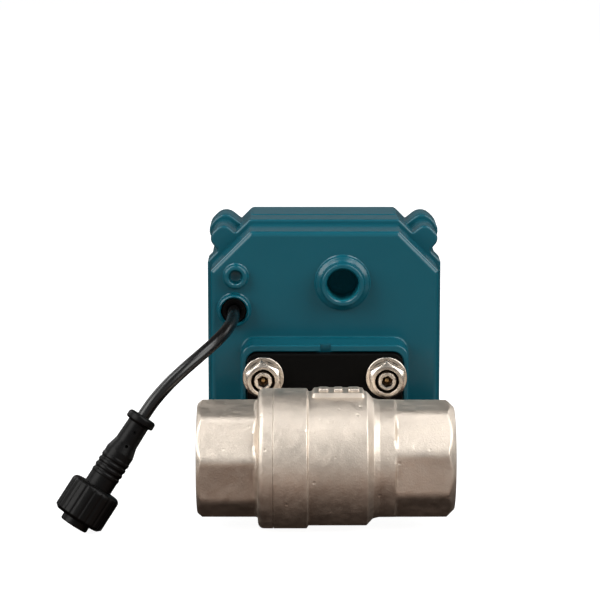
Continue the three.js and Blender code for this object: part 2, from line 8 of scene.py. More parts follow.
import bmesh
import bpy
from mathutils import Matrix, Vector


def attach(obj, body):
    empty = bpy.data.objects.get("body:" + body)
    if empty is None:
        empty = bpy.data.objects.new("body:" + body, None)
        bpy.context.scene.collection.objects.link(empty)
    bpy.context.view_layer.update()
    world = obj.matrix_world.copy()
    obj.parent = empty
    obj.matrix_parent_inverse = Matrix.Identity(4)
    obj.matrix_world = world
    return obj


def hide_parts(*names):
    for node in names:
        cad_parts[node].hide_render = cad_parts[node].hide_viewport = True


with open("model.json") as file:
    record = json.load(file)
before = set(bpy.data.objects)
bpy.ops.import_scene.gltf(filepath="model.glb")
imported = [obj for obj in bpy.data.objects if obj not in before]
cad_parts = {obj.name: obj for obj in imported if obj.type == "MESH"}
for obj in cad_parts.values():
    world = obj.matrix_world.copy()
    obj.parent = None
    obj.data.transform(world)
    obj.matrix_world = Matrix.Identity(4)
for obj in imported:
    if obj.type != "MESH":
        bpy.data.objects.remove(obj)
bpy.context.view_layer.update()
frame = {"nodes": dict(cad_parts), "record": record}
NODES = frame["nodes"]
scene = bpy.context.scene

# ------------------------------------------------------------------ dimensions (mm), as in the CAD
Y_MID = 2.4
PIPE_Y, PIPE_Z = -33.7, 16.4
HALF_W, LOW_Z, TOP_Z, CORNER, RIM, WALL = 28.0, 1.1, 64.95, 9.8, 1.1, 2.5
RIM_FRONT, SPLIT, RIM_BACK, BACK, SLACK, LIP = 13.4, 27.6, 22.0, 44.7, 0.15, 0.45
EAR_R, COVER_EAR_R, EAR_BACK = 2.65, 3.4, 39.0
EARS = [(-25.3, 61.45), (25.3, 61.45), (-25.3, 4.6), (25.3, 4.6)]
PLATFORM_HALF, PLATFORM_TOP, PLATFORM_OUT = 20.25, 38.75, 10.0
PLATE_HALF, PLATE_TOP, PLATE_LOW, PLATE_FRONT, PLATE_BACK = 18.7, 36.8, 3.4, -11.5, -8.5
STUD_X, STUD_Z = 14.87, 31.25
GLAND = (-22.2, 45.7)
BARREL_R, STEP_R, NECK_R, END_X, FLATS = 16.4, 15.7, 13.7, 30.0, 25.6
LEAD_PATH = [
    (-22.2, -0.9, 45.7), (-22.2, -2.4, 45.7), (-22.17, -7.74, 45.48), (-22.54, -13.02, 44.8),
    (-23.83, -18.04, 43.58), (-26.18, -22.49, 41.82), (-29.32, -26.18, 39.6), (-32.9, -29.12, 36.94),
    (-36.57, -31.4, 33.81), (-40.03, -33.1, 30.13), (-42.5, -34.1, 26.71), (-43.47, -34.44, 25.23),
]
PLUG_TIP = Vector((-58.7, -39.8, 2.1))
PLUG_AXIS = Vector((0.54, 0.19, 0.82)).normalized()


def to_m(p):
    return Vector((p[0] * 0.001, (p[1] + Y_MID) * 0.001, p[2] * 0.001))


# ------------------------------------------------------------------ camera
cam_data = bpy.data.cameras.new("camera")
cam_data.sensor_width = 36.0
cam_data.lens = 154.5
cam_data.clip_start, cam_data.clip_end = 0.01, 50
cam = bpy.data.objects.new("camera", cam_data)
cam.location = to_m((-6.02, -621.6, 157.7))
cam.rotation_euler = (radians(80.0), 0, 0)
scene.collection.objects.link(cam)
scene.camera = cam


# ------------------------------------------------------------------ materials
def tree(name):
    m = bpy.data.materials.new(name)
    m.use_nodes = True
    nt = m.node_tree
    bsdf = nt.nodes["Principled BSDF"]
    coord = nt.nodes.new("ShaderNodeTexCoord")
    return m, nt, bsdf, coord


def noise(nt, coord, scale, detail=4.0, rough=0.55, stretch=None):
    n = nt.nodes.new("ShaderNodeTexNoise")
    n.inputs["Scale"].default_value = scale
    n.inputs["Detail"].default_value = detail
    n.inputs["Roughness"].default_value = rough
    if stretch:
        mp = nt.nodes.new("ShaderNodeMapping")
        mp.inputs["Scale"].default_value = stretch
        nt.links.new(coord.outputs["Object"], mp.inputs["Vector"])
        nt.links.new(mp.outputs["Vector"], n.inputs["Vector"])
    else:
        nt.links.new(coord.outputs["Object"], n.inputs["Vector"])
    return n.outputs["Fac"]


def ramp(nt, fac, stops):
    r = nt.nodes.new("ShaderNodeValToRGB")
    while len(r.color_ramp.elements) < len(stops):
        r.color_ramp.elements.new(0.5)
    for e, (pos, col) in zip(r.color_ramp.elements, stops):
        e.position = pos
        e.color = (*col, 1.0) if len(col) == 3 else col
    nt.links.new(fac, r.inputs["Fac"])
    return r.outputs["Color"]


def remap(nt, fac, lo, hi, a=0.3, b=0.7):
    r = nt.nodes.new("ShaderNodeMapRange")
    r.inputs["From Min"].default_value = a
    r.inputs["From Max"].default_value = b
    r.inputs["To Min"].default_value = lo
    r.inputs["To Max"].default_value = hi
    nt.links.new(fac, r.inputs["Value"])
    return r.outputs["Result"]


def bump(nt, bsdf, layers):
    """layers: (height socket, distance in metres, strength); the last is the finest."""
    prev = None
    for height, dist, strength in layers:
        b = nt.nodes.new("ShaderNodeBump")
        b.inputs["Distance"].default_value = dist
        b.inputs["Strength"].default_value = strength
        nt.links.new(height, b.inputs["Height"])
        if prev:
            nt.links.new(prev, b.inputs["Normal"])
        prev = b.outputs["Normal"]
    nt.links.new(prev, bsdf.inputs["Normal"])


def plastic(name, base, rough=(0.3, 0.4), grain=3200, grain_d=0.00002, tint=0.08, coat=0.0, spec=0.5, sss=0.0):
    m, nt, bsdf, coord = tree(name)
    broad = noise(nt, coord, 60, 3)
    col = ramp(nt, broad, [(0.3, [c * (1 - tint) for c in base]), (0.7, [c * (1 + tint) for c in base])])
    nt.links.new(col, bsdf.inputs["Base Color"])
    fine = noise(nt, coord, grain, 3, 0.6)
    nt.links.new(remap(nt, noise(nt, coord, 350, 4), rough[0], rough[1]), bsdf.inputs["Roughness"])
    bsdf.inputs["Specular IOR Level"].default_value = spec
    bsdf.inputs["Coat Weight"].default_value = coat
    bsdf.inputs["Coat Roughness"].default_value = 0.12
    if sss:
        bsdf.inputs["Subsurface Weight"].default_value = sss
        bsdf.inputs["Subsurface Scale"].default_value = 0.001
    bump(nt, bsdf, [(noise(nt, coord, 140, 2), 0.00002, 0.10), (fine, grain_d, 0.35)])
    return m


def metal(name, base, rough, grain=2600, grain_d=0.00003, tint=0.1, blotch=None, pits=0.0, stretch=None):
    m, nt, bsdf, coord = tree(name)
    bsdf.inputs["Metallic"].default_value = 1.0
    broad = noise(nt, coord, 90, 5, 0.6)
    dark = [c * (1 - tint) for c in base]
    light = [min(1, c * (1 + tint)) for c in base]
    stops = [(0.3, dark), (0.5, base), (0.72, light)]
    if blotch:
        stops = [(0.22, blotch)] + stops
    nt.links.new(ramp(nt, broad, stops), bsdf.inputs["Base Color"])
    nt.links.new(remap(nt, noise(nt, coord, 420, 5, 0.65), rough[0], rough[1]), bsdf.inputs["Roughness"])
    layers = [(noise(nt, coord, 260, 4), 0.00008, 0.10)]
    if pits:
        v = nt.nodes.new("ShaderNodeTexVoronoi")
        v.inputs["Scale"].default_value = 260
        v.inputs["Randomness"].default_value = 1.0
        nt.links.new(coord.outputs["Object"], v.inputs["Vector"])
        pit = remap(nt, v.outputs["Distance"], 0.0, 1.0, 0.02, 0.13)
        layers.append((pit, 0.00010, pits))
    layers.append((noise(nt, coord, grain, 4, 0.65, stretch), grain_d, 0.5))
    bump(nt, bsdf, layers)
    return m


TEAL = plastic("teal_housing", (0.0022, 0.071, 0.100), rough=(0.20, 0.25), grain=1800, grain_d=0.000003, tint=0.025, spec=0.36)
CAST = metal("cast_stainless", (0.630, 0.560, 0.485), (0.40, 0.56), grain=2200, grain_d=0.00012, tint=0.13,
             blotch=(0.44, 0.36, 0.29), pits=1.0)
MACHINED = metal("bright_steel", (0.62, 0.555, 0.485), (0.20, 0.30), grain=5200, grain_d=0.000008, tint=0.05)
POLISHED = metal("polished_ball", (0.70, 0.68, 0.65), (0.06, 0.12), grain=6000, grain_d=0.000002, tint=0.03)
THREADED = metal("threaded_stainless", (0.56, 0.51, 0.45), (0.26, 0.36), grain=4200, grain_d=0.00001, tint=0.08)
PLATE = plastic("black_plate", (0.0018, 0.0017, 0.0016), rough=(0.42, 0.55), grain=2200, grain_d=0.00002, tint=0.15, spec=0.06)
BRASS = metal("brass", (0.52, 0.36, 0.14), (0.22, 0.32), grain=4200, grain_d=0.00001)
# A golden steel tone: painted warm reflection for the floor of the studs' hex sockets.
SOCKET_FLOOR_PAINTED_REFLECTION = metal("socket_floor_painted_reflection", (0.34, 0.215, 0.10), (0.22, 0.34), grain=4200, grain_d=0.00001)
# A lighter copy of the housing teal: painted light for the inside of the deep boss hole, which would otherwise render
# too dark.
TEAL_HOLE_PAINTED_LIGHT = plastic("teal_hole_painted_light", (0.0070, 0.150, 0.195), rough=(0.6, 0.7), grain_d=0.000005, tint=0.03, spec=0.08)
# Dark steel: painted shade for the nut bores, the stud threads inside nut and plate, and the hex socket walls.
SHADED = metal("painted_shade_steel", (0.10, 0.072, 0.050), (0.34, 0.46), grain=4200, grain_d=0.00001, tint=0.12)
PTFE = plastic("seal_white", (0.80, 0.79, 0.75), rough=(0.40, 0.5), grain_d=0.00001, tint=0.02, sss=0.1)
ACETAL = plastic("gear_plastic", (0.72, 0.70, 0.63), rough=(0.32, 0.42), grain_d=0.00001, tint=0.03, sss=0.1)
RUBBER = plastic("black_rubber", (0.0016, 0.0015, 0.0016), rough=(0.34, 0.44), grain=2400, grain_d=0.00002, tint=0.15, spec=0.13)
SHEATH = plastic("cable_sheath", (0.0022, 0.0021, 0.0022), rough=(0.22, 0.28), grain=1800, grain_d=0.00001, tint=0.12, spec=0.44)
BLACK = plastic("black_plastic", (0.0016, 0.0015, 0.0015), rough=(0.34, 0.44), grain=2600, grain_d=0.00002, tint=0.15, spec=0.13)
BOARD = plastic("board_green", (0.015, 0.10, 0.04), rough=(0.22, 0.3), grain_d=0.00001, tint=0.12, coat=0.4)
YELLOW = plastic("signal_yellow", (0.72, 0.42, 0.02), rough=(0.34, 0.42), grain_d=0.00001, tint=0.04)
WHITE_MARK = plastic("mark_white", (0.75, 0.75, 0.72), rough=(0.4, 0.5), grain_d=0.00001, tint=0.03)


def glass(name):
    m, nt, bsdf, coord = tree(name)
    bsdf.inputs["Base Color"].default_value = (0.93, 0.97, 0.97, 1)
    bsdf.inputs["Transmission Weight"].default_value = 1.0
    bsdf.inputs["IOR"].default_value = 1.45
    nt.links.new(remap(nt, noise(nt, coord, 300, 4), 0.02, 0.07), bsdf.inputs["Roughness"])
    return m


CLEAR = glass("window_clear")

BY_SLOT = {
    "teal_housing": TEAL, "cast_stainless": CAST, "bright_steel": MACHINED, "black_plate": PLATE, "brass": BRASS,
    "seal_white": PTFE, "gear_plastic": ACETAL, "black_rubber": RUBBER, "black_plastic": BLACK,
    "board_green": BOARD, "window_clear": CLEAR, "signal_yellow": YELLOW,
}


# ------------------------------------------------------------------ mesh tools
def fillet(points, closed, n=5, fixed=False):
    """Rounds the corners of a line of (a, b[, radius]); with fixed, every corner gives n + 1 points."""
    pts = [(p[0], p[1], p[2] if len(p) > 2 else 0.0) for p in points]
    out = []
    last = len(pts) - 1
    for i, (px, py, r) in enumerate(pts):
        if not closed and i in (0, last):
            out.append((px, py))
            continue
        ax, ay, _ = pts[i - 1]
        bx, by, _ = pts[(i + 1) % len(pts)]
        ua, ub = Vector((ax - px, ay - py)), Vector((bx - px, by - py))
        la, lb = ua.length, ub.length
        if r <= 1e-6 or la < 1e-9 or lb < 1e-9:
            out += [(px, py)] * (n + 1 if fixed else 1)
            continue
        ua, ub = ua / la, ub / lb
        ang = math.acos(max(-1.0, min(1.0, ua.dot(ub))))
        if ang > pi - 1e-3:
            out += [(px, py)] * (n + 1 if fixed else 1)
            continue
        t = min(r / math.tan(ang / 2), 0.49 * la, 0.49 * lb)
        rr = t * math.tan(ang / 2)
        c = Vector((px, py)) + (ua + ub).normalized() * (rr / sin(ang / 2))
        s, e = Vector((px, py)) + ua * t - c, Vector((px, py)) + ub * t - c
        a0, a1 = math.atan2(s.y, s.x), math.atan2(e.y, e.x)
        d = (a1 - a0 + pi) % (2 * pi) - pi
        for k in range(n + 1):
            a = a0 + d * k / n
            out.append((c.x + rr * cos(a), c.y + rr * sin(a)))
    return out


def offset(verts, d):
    """Moves a closed outline of (x, z, radius) outwards by d; it runs anticlockwise seen with x right, z up."""
    out = []
    n = len(verts)
    for i, (x, z, r) in enumerate(verts):
        p, a, b = Vector((x, z)), Vector(verts[i - 1][:2]), Vector(verts[(i + 1) % n][:2])
        e1, e2 = (p - a).normalized(), (b - p).normalized()
        n1, n2 = Vector((e1.y, -e1.x)), Vector((e2.y, -e2.x))
        k = (n1 + n2) * (d / max(0.2, 1 + n1.dot(n2)))
        turn = e1.x * e2.y - e1.y * e2.x
        out.append((x + k.x, z + k.y, max(0.02, r + (d if turn > 0 else -d))))
    return out


def new_object(name, verts, faces, metres=False):
    me = bpy.data.meshes.new(name)
    me.from_pydata([tuple(v) if metres else tuple(to_m(v)) for v in verts], [], faces)
    bm = bmesh.new()
    bm.from_mesh(me)
    bmesh.ops.remove_doubles(bm, verts=bm.verts, dist=2e-7)
    bmesh.ops.dissolve_degenerate(bm, dist=1e-7, edges=bm.edges)
    bmesh.ops.recalc_face_normals(bm, faces=bm.faces)
    if bm.calc_volume(signed=True) < 0:
        bmesh.ops.reverse_faces(bm, faces=bm.faces)
    bm.to_mesh(me)
    bm.free()
    ob = bpy.data.objects.new(name, me)
    scene.collection.objects.link(ob)
    return ob


def loft(name, sections, n=5):
    """sections: (y, outline of (x, z, radius)) from front to back; flat caps at both ends."""
    rings = [[(x, y, z) for x, z in fillet(o, True, n, fixed=True)] for y, o in sections]
    m = len(rings[0])
    verts = [v for ring in rings for v in ring]
    faces = [tuple(range(m - 1, -1, -1))]
    for k in range(len(rings) - 1):
        for i in range(m):
            j = (i + 1) % m
            faces.append((k * m + i, k * m + j, (k + 1) * m + j, (k + 1) * m + i))
    faces.append(tuple((len(rings) - 1) * m + i for i in range(m)))
    return new_object(name, verts, faces)


X, Y, Z = Vector((1, 0, 0)), Vector((0, 1, 0)), Vector((0, 0, 1))


def spin(name, rings, origin, axis, u, v, seg=96, phase=0.0):
    """rings: (height, radius or function of angle). Radius 0 closes on the axis; otherwise the line closes on itself."""
    origin = Vector(origin)
    verts, idx = [], []
    for h, r in rings:
        if not callable(r) and abs(r) < 1e-9:
            idx.append([len(verts)])
            verts.append(origin + axis * h)
            continue
        row = []
        for i in range(seg):
            a = phase + 2 * pi * i / seg
            rr = r(a) if callable(r) else r
            row.append(len(verts))
            verts.append(origin + axis * h + u * (rr * cos(a)) + v * (rr * sin(a)))
        idx.append(row)
    faces = []
    pairs = list(zip(idx, idx[1:]))
    if len(idx[0]) > 1 and len(idx[-1]) > 1:
        pairs.append((idx[-1], idx[0]))
    for a, b in pairs:
        if len(a) == 1 and len(b) == 1:
            continue
        for i in range(seg):
            j = (i + 1) % seg
            if len(a) == 1:
                faces.append((a[0], b[j], b[i]))
            elif len(b) == 1:
                faces.append((a[i], a[j], b[0]))
            else:
                faces.append((a[i], a[j], b[j], b[i]))
    return new_object(name, verts, faces)


def turned_y(name, profile, x, z, seg=64, n=4, closed=None):
    """Turned about a line along Y through (x, z); profile of (y, r[, fillet])."""
    on_axis = profile[0][1] == 0 and profile[-1][1] == 0
    return spin(name, fillet(profile, not on_axis, n), (x, 0, z), Y, X, Z, seg)


def boolean(a, b, op="DIFFERENCE"):
    m = a.modifiers.new("cut", "BOOLEAN")
    m.operation, m.object, m.solver = op, b, "EXACT"
    bpy.context.view_layer.update()
    me = bpy.data.meshes.new_from_object(a.evaluated_get(bpy.context.evaluated_depsgraph_get()))
    a.modifiers.remove(m)
    old = a.data
    a.data = me
    bpy.data.meshes.remove(old)
    bpy.data.objects.remove(b)
    return a


def rounded_box(name, lo, hi, r=0.2, seg=2):
    bm = bmesh.new()
    bmesh.ops.create_cube(bm, size=1.0)
    c = [(a + b) / 2 for a, b in zip(lo, hi)]
    s = [b - a for a, b in zip(lo, hi)]
    for vtx in bm.verts:
        vtx.co = to_m((c[0] + vtx.co.x * s[0], c[1] + vtx.co.y * s[1], c[2] + vtx.co.z * s[2]))
    if r:
        bmesh.ops.bevel(bm, geom=list(bm.edges), offset=r * 0.001, segments=seg, profile=0.5, affect="EDGES")
    me = bpy.data.meshes.new(name)
    bm.to_mesh(me)
    bm.free()
    ob = bpy.data.objects.new(name, me)
    scene.collection.objects.link(ob)
    return ob


def shade(ob, angle=32, weighted=True):
    me = ob.data
    bm = bmesh.new()
    bm.from_mesh(me)
    for f in bm.faces:
        f.smooth = True
    lim = radians(angle)
    for e in bm.edges:
        e.smooth = not (len(e.link_faces) == 2 and e.calc_face_angle(0) > lim)
    bm.to_mesh(me)
    bm.free()
    if weighted:
        w = ob.modifiers.new("normals", "WEIGHTED_NORMAL")
        w.keep_sharp = True
        w.weight = 60


def plane_normals(ob, angle, min_area=40.0):
    """Vertices on the rim of a wide flat region take the normal of that region, however its faces are split."""
    me = ob.data
    area, keys = {}, []
    for p in me.polygons:
        n = p.normal
        key = (round(n.x * 300), round(n.y * 300), round(n.z * 300), round(n.dot(p.center) * 25000 + 0.23))
        area[key] = area.get(key, 0.0) + p.area * 1e6
        keys.append(key)
    flats = {}
    for p, key in zip(me.polygons, keys):
        if area[key] > min_area:
            p.use_smooth = False
            for v in p.vertices:
                flats.setdefault(v, []).append(p.normal)
    lim = cos(radians(angle))
    normals = [(0.0, 0.0, 0.0)] * len(me.loops)
    for p in me.polygons:
        for li, v in zip(p.loop_indices, p.vertices):
            best = max(flats.get(v, ()), key=lambda n: n.dot(p.normal), default=None)
            if best is not None and best.dot(p.normal) > lim:
                normals[li] = tuple(best)
    me.normals_split_custom_set(normals)


def piece(ob, mat, body="housing", stands_for=(), angle=32, weighted=True, extra=(), flat=False):
    ob.data.materials.clear()
    ob.data.materials.append(mat)
    for m in extra:
        ob.data.materials.append(m)
    shade(ob, angle, weighted and not flat)
    if flat:
        plane_normals(ob, angle)
    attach(ob, body)
    if stands_for:
        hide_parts(*([stands_for] if isinstance(stands_for, str) else stands_for))
    return ob


def paint(ob, index, test):
    """Gives faces whose centre (mm, design frame) and normal pass the test another material."""
    for p in ob.data.polygons:
        c = p.center
        if test((c.x * 1000, c.y * 1000 - Y_MID, c.z * 1000), p.normal):
            p.material_index = index


# ------------------------------------------------------------------ lead (first, because its room is tested)
def catmull(points, per=10):
    ps = [Vector(p) for p in points]
    ps = [ps[0] * 2 - ps[1]] + ps + [ps[-1] * 2 - ps[-2]]
    out = []
    for i in range(1, len(ps) - 2):
        p0, p1, p2, p3 = ps[i - 1 : i + 3]
        t0, t1 = 0.0, sqrt((p1 - p0).length)
        t2 = t1 + sqrt((p2 - p1).length)
        t3 = t2 + sqrt((p3 - p2).length)
        for k in range(per):
            t = t1 + (t2 - t1) * k / per
            a1 = p0 * ((t1 - t) / (t1 - t0)) + p1 * ((t - t0) / (t1 - t0))
            a2 = p1 * ((t2 - t) / (t2 - t1)) + p2 * ((t - t1) / (t2 - t1))
            a3 = p2 * ((t3 - t) / (t3 - t2)) + p3 * ((t - t2) / (t3 - t2))
            b1 = a1 * ((t2 - t) / (t2 - t0)) + a2 * ((t - t0) / (t2 - t0))
            b2 = a2 * ((t3 - t) / (t3 - t1)) + a3 * ((t - t1) / (t3 - t1))
            out.append(b1 * ((t2 - t) / (t2 - t1)) + b2 * ((t - t1) / (t2 - t1)))
    out.append(ps[-2])
    return out


lead_pts = catmull(LEAD_PATH, 6)
curve = bpy.data.curves.new("lead", "CURVE")
curve.dimensions = "3D"
spline = curve.splines.new("POLY")
spline.points.add(len(lead_pts) - 1)
for sp, p in zip(spline.points, lead_pts):
    sp.co = (*to_m(p), 1.0)
curve.bevel_depth = 0.0015
curve.bevel_resolution = 8
curve.use_fill_caps = True
lead = bpy.data.objects.new("lead", curve)
scene.collection.objects.link(lead)
curve.materials.append(SHEATH)
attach(lead, "housing")
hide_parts("cable")

# plug, turned about its own axis from the tip
PU = PLUG_AXIS.cross(Z).normalized()
PV = PLUG_AXIS.cross(PU).normalized()


def plug_turned(name, profile, seg=72, n=4):
    on_axis = profile[0][1] == 0 and profile[-1][1] == 0
    return spin(name, fillet(profile, not on_axis, n), PLUG_TIP, PLUG_AXIS, PU, PV, seg)


boot = plug_turned("plug_boot", [
    (9.3, 0), (9.3, 3.4, 0.1), (13.15, 3.4, 0.2), (13.4, 3.5, 0.2), (13.9, 3.5, 0.2), (14.15, 3.32, 0.2),
    (14.5, 3.32, 0.2), (14.75, 3.52, 0.2), (15.3, 3.52, 0.2), (15.55, 3.32, 0.2), (15.9, 3.32, 0.2),
    (16.15, 3.52, 0.2), (16.7, 3.52, 0.2), (16.95, 3.32, 0.2), (17.3, 3.32, 0.2), (17.55, 3.52, 0.2), (18.1, 3.52, 0.3),
    (18.4, 3.40, 0.3), (19.9, 3.44, 1.2), (22.5, 2.74, 2.0),
    (27.8, 2.62, 0.25), (27.9, 3.52, 0.6), (29.85, 3.5, 0.75), (29.85, 1.66, 0.2), (27.85, 1.58), (27.85, 0),
], 72, 5)
# two small vents in the neck of the boot, on the side that faces the front
for s, side in ((25.6, 0.05), (21.9, 0.12)):
    front = Vector((0, -1, 0)) - PLUG_AXIS * Vector((0, -1, 0)).dot(PLUG_AXIS)
    front.normalize()
    d = (front + PLUG_AXIS.cross(front) * side).normalized()
    o = PLUG_TIP + PLUG_AXIS * s + d * 1.95
    a, b = d.orthogonal().normalized(), None
    b = d.cross(a)
    pit = spin("pit", fillet([(0, 0), (0, 0.24), (0.55, 0.30), (1.6, 0.62), (1.6, 0)], False, 2), o, d, a, b, 16)
    boolean(boot, pit)
piece(boot, RUBBER, "housing", "connector_boot")


def densify_line(line, step=0.5):
    out = [line[0]]
    for a, b in zip(line, line[1:]):
        n = max(1, int(abs(b[0] - a[0]) / step + 0.5))
        for k in range(1, n + 1):
            out.append((a[0] + (b[0] - a[0]) * k / n, a[1] + (b[1] - a[1]) * k / n))
    return out


def ribbed(r, ribs=18, depth=0.28):
    def f(a):
        k = (a * ribs / (2 * pi)) % 1.0
        g = abs(k - 0.5) * 2  # 1 at the groove, 0 on the crest
        s = max(0.0, (g - 0.55) / 0.45)
        return r - depth * s * s * (3 - 2 * s)
    return f


nut_line = fillet([(1.35, 3.75, 0.1), (1.35, 5.35, 0.2), (2.05, 6.18, 0.3), (10.2, 6.2, 1.5), (10.2, 3.75, 0.2)], True, 6)
nut_line = densify_line(nut_line)
nut_rings = []
for h, r in nut_line:
    if r > 5.9:
        nut_rings.append((h, ribbed(r, depth=0.16 * min(1, (r - 5.9) / 0.25))))
    else:
        nut_rings.append((h, r))
plug_nut = spin("plug_coupling_nut", nut_rings, PLUG_TIP, PLUG_AXIS, PU, PV, 216)
piece(plug_nut, BLACK, "plug_nut", "connector_nut", angle=40)
insert = plug_turned("plug_insert", [
    (-0.3, 2.58, 0.12), (-0.3, 3.22, 0.08), (-0.02, 3.45, 0.1), (9.0, 3.45, 0.2), (9.0, 0.001), (4.5, 0.001), (4.5, 2.55, 0.2),
], 64, 4)
piece(insert, BLACK, "housing", "connector_insert")
for k in range(3):
    a = 2 * pi * k / 3 + 0.5
    o = PLUG_TIP + PU * (1.15 * cos(a)) + PV * (1.15 * sin(a))
    p = spin(f"plug_pin_{k + 1}", fillet([(0.9, 0), (0.9, 0.42, 0.3), (4.6, 0.42), (4.6, 0)], False, 4),
             o, PLUG_AXIS, PU, PV, 20)
    piece(p, BRASS, "housing")

# ------------------------------------------------------------------ housing shells
W, C = HALF_W, CORNER


def octagon(d=0.0, r=1.1):
    w, lo, hi, c = W + d, LOW_Z - d, TOP_Z + d, C + d * (2 - sqrt(2))
    return [(-w, lo + c, r), (-w + c, lo, r), (w - c, lo, r), (w, lo + c, r),
            (w, hi - c, r), (w - c, hi, r), (-w + c, hi, r), (-w, hi - c, r)]


def lugged(d=0.0, r=1.1, ear=EAR_R, flare=0.45, soft=0.6):
    """The octagon with a rounded screw lug standing on each corner chamfer."""
    o = octagon(d, r)
    out = []
    centres = {0: (-25.3, 4.6), 2: (25.3, 4.6), 4: (25.3, 61.45), 6: (-25.3, 61.45)}
    for i in range(8):
        out.append(o[i])
        if i in centres:
            a, b = Vector(o[i][:2]), Vector(o[(i + 1) % 8][:2])
            v = (b - a).normalized()
            u = Vector((v.y, -v.x))
            c = Vector(centres[i])
            base = (a - c).dot(u)
            for uu, vv, rr in ((base, -ear - flare, soft), (ear, -ear - 0.05, ear), (ear, ear + 0.05, ear), (base, ear + flare, soft)):
                p = c + u * uu + v * vv
                out.append((p.x, p.y, rr))
    return out


def arc_steps(n=5):
    return [k / n * pi / 2 for k in range(n + 1)]


def rect(x0, x1, z0, z1, rt, rb=None):
    rb = rt if rb is None else rb
    return [(x1, z0, rb), (x1, z1, rt), (x0, z1, rt), (x0, z0, rb)]


def anticlockwise(o):
    area = sum(o[i - 1][0] * o[i][1] - o[i][0] * o[i - 1][1] for i in range(len(o)))
    return o if area > 0 else o[::-1]


# base housing: front section, rim with lugs, platform, bosses
F = 1.25
front_secs = [(F * (1 - cos(a)), offset(octagon(), -F * (1 - sin(a)))) for a in arc_steps(6)]
front_secs += [(SPLIT - SLACK - 0.2, octagon()), (SPLIT - SLACK, offset(octagon(), -0.2))]
base = loft("base_shell", front_secs, 5)
e = 0.5
rim_secs = [(RIM_FRONT + e * (1 - cos(a)), offset(lugged(RIM), -e * (1 - sin(a)))) for a in arc_steps(4)]
rim_secs += [(RIM_BACK - e + e * sin(a), offset(lugged(RIM), -e * (1 - cos(a)))) for a in arc_steps(4)]
boolean(base, loft("rim", rim_secs, 5), "UNION")
lug_secs = [(RIM_FRONT + 1.0, lugged(-0.15))]
lug_secs += [(SPLIT - SLACK - 0.25 + 0.25 * sin(a), offset(lugged(-0.15), -0.25 * (1 - cos(a)))) for a in arc_steps(3)]
boolean(base, loft("base_lugs", lug_secs, 5), "UNION")
plat = anticlockwise(rect(-PLATFORM_HALF, PLATFORM_HALF, LOW_Z, PLATFORM_TOP, 3.2, 1.0))
pe = 0.4
plat_secs = [(-PLATFORM_OUT + pe * (1 - cos(a)), offset(plat, -pe * (1 - sin(a)))) for a in arc_steps(4)]
plat_secs += [(-0.5, plat)]
plat_secs += [(-0.5 + 0.5 * sin(a), offset(plat, 0.5 * (1 - cos(a)))) for a in arc_steps(4)[1:]]
plat_secs = [(y, [(x, max(z, LOW_Z + 0.02), r) for x, z, r in o]) for y, o in plat_secs]
plat_secs += [(0.8, plat_secs[-1][1])]
boolean(base, loft("platform", plat_secs, 6), "UNION")
boolean(base, turned_y("boss", [
    (0.6, 0), (0.6, 7.1), (0.02, 6.95, 0.1), (-0.25, 6.68, 0.25), (-1.2, 6.52, 0.35), (-1.5, 6.1, 0.35), (-2.0, 5.45, 0.5),
    (-4.3, 5.22, 0.5), (-4.3, 0)], 4.4, 52.45, 96, 5), "UNION")
boolean(base, turned_y("ring_boss", [
    (0.6, 0), (0.6, 3.4), (0.02, 3.3, 0.1), (-0.25, 2.99, 0.25), (-2.0, 2.92, 0.65), (-2.0, 0)], -21.75, 54.0, 64, 5), "UNION")
boolean(base, turned_y("gland_boss", [
    (0.6, 0), (0.6, 4.4), (0.02, 4.3, 0.1), (-0.25, 4.02, 0.25), (-2.6, 3.93, 0.6), (-2.6, 0)], GLAND[0], GLAND[1], 72, 5), "UNION")
cavity = loft("cavity", [(WALL, offset(octagon(-WALL), -0.6)), (WALL + 0.6, octagon(-WALL)), (SPLIT + 2, octagon(-WALL))], 4)
boolean(base, cavity)
boolean(base, turned_y("boss_sleeve", [(2.0, 0), (2.0, 5.3), (8.4, 5.3, 0.4), (8.4, 0)], 4.4, 52.6, 64, 3), "UNION")
boolean(base, turned_y("bore_collar", [(2.0, 7.4), (2.0, 9.3), (4.2, 9.3, 0.3), (4.2, 7.4)], 0, PIPE_Z, 64, 3), "UNION")
POSTS = [(-20.2, 11.2), (20.2, 11.2), (-20.6, 55.2), (21.6, 37.4)]
for x, z in POSTS:
    boolean(base, turned_y("post", [(2.0, 0), (2.0, 3.1), (3.0, 2.45, 0.5), (16.9, 2.35, 0.2), (16.9, 0)], x, z, 32, 3), "UNION")
# pocket for the plate, the notch in its rim, bores
pocket = anticlockwise(rect(-PLATE_HALF - 0.3, PLATE_HALF + 0.3, PLATE_LOW - 0.3, PLATE_TOP + 0.3, 2.5))
boolean(base, loft("pocket", [(-11, offset(pocket, 0.25)), (-PLATFORM_OUT, offset(pocket, 0.25)),
                              (-PLATFORM_OUT + 0.25, pocket), (PLATE_BACK + 0.3, pocket)], 5))
boolean(base, rounded_box("notch", (-1.2, -11, PLATE_TOP - 0.5), (1.5, PLATE_BACK + 0.3, PLATFORM_TOP + 2), 0))
boolean(base, turned_y("bore", [(-12, 0), (-12, 7.3), (6, 7.3), (6, 0)], 0, PIPE_Z, 72, 1))
for s in (-1, 1):
    boolean(base, turned_y("stud_hole", [(-12, 0), (-12, 2.7), (1.0, 2.7), (1.6, 0)], s * STUD_X, STUD_Z, 40, 1))
boolean(base, turned_y("boss_hole", [(-5, 0), (-5, 4.6), (-4.3, 4.3, 0.2), (-3.95, 3.95, 0.25), (7.0, 3.85, 3.2), (7.0, 0)], 4.4, 52.45, 96, 8))
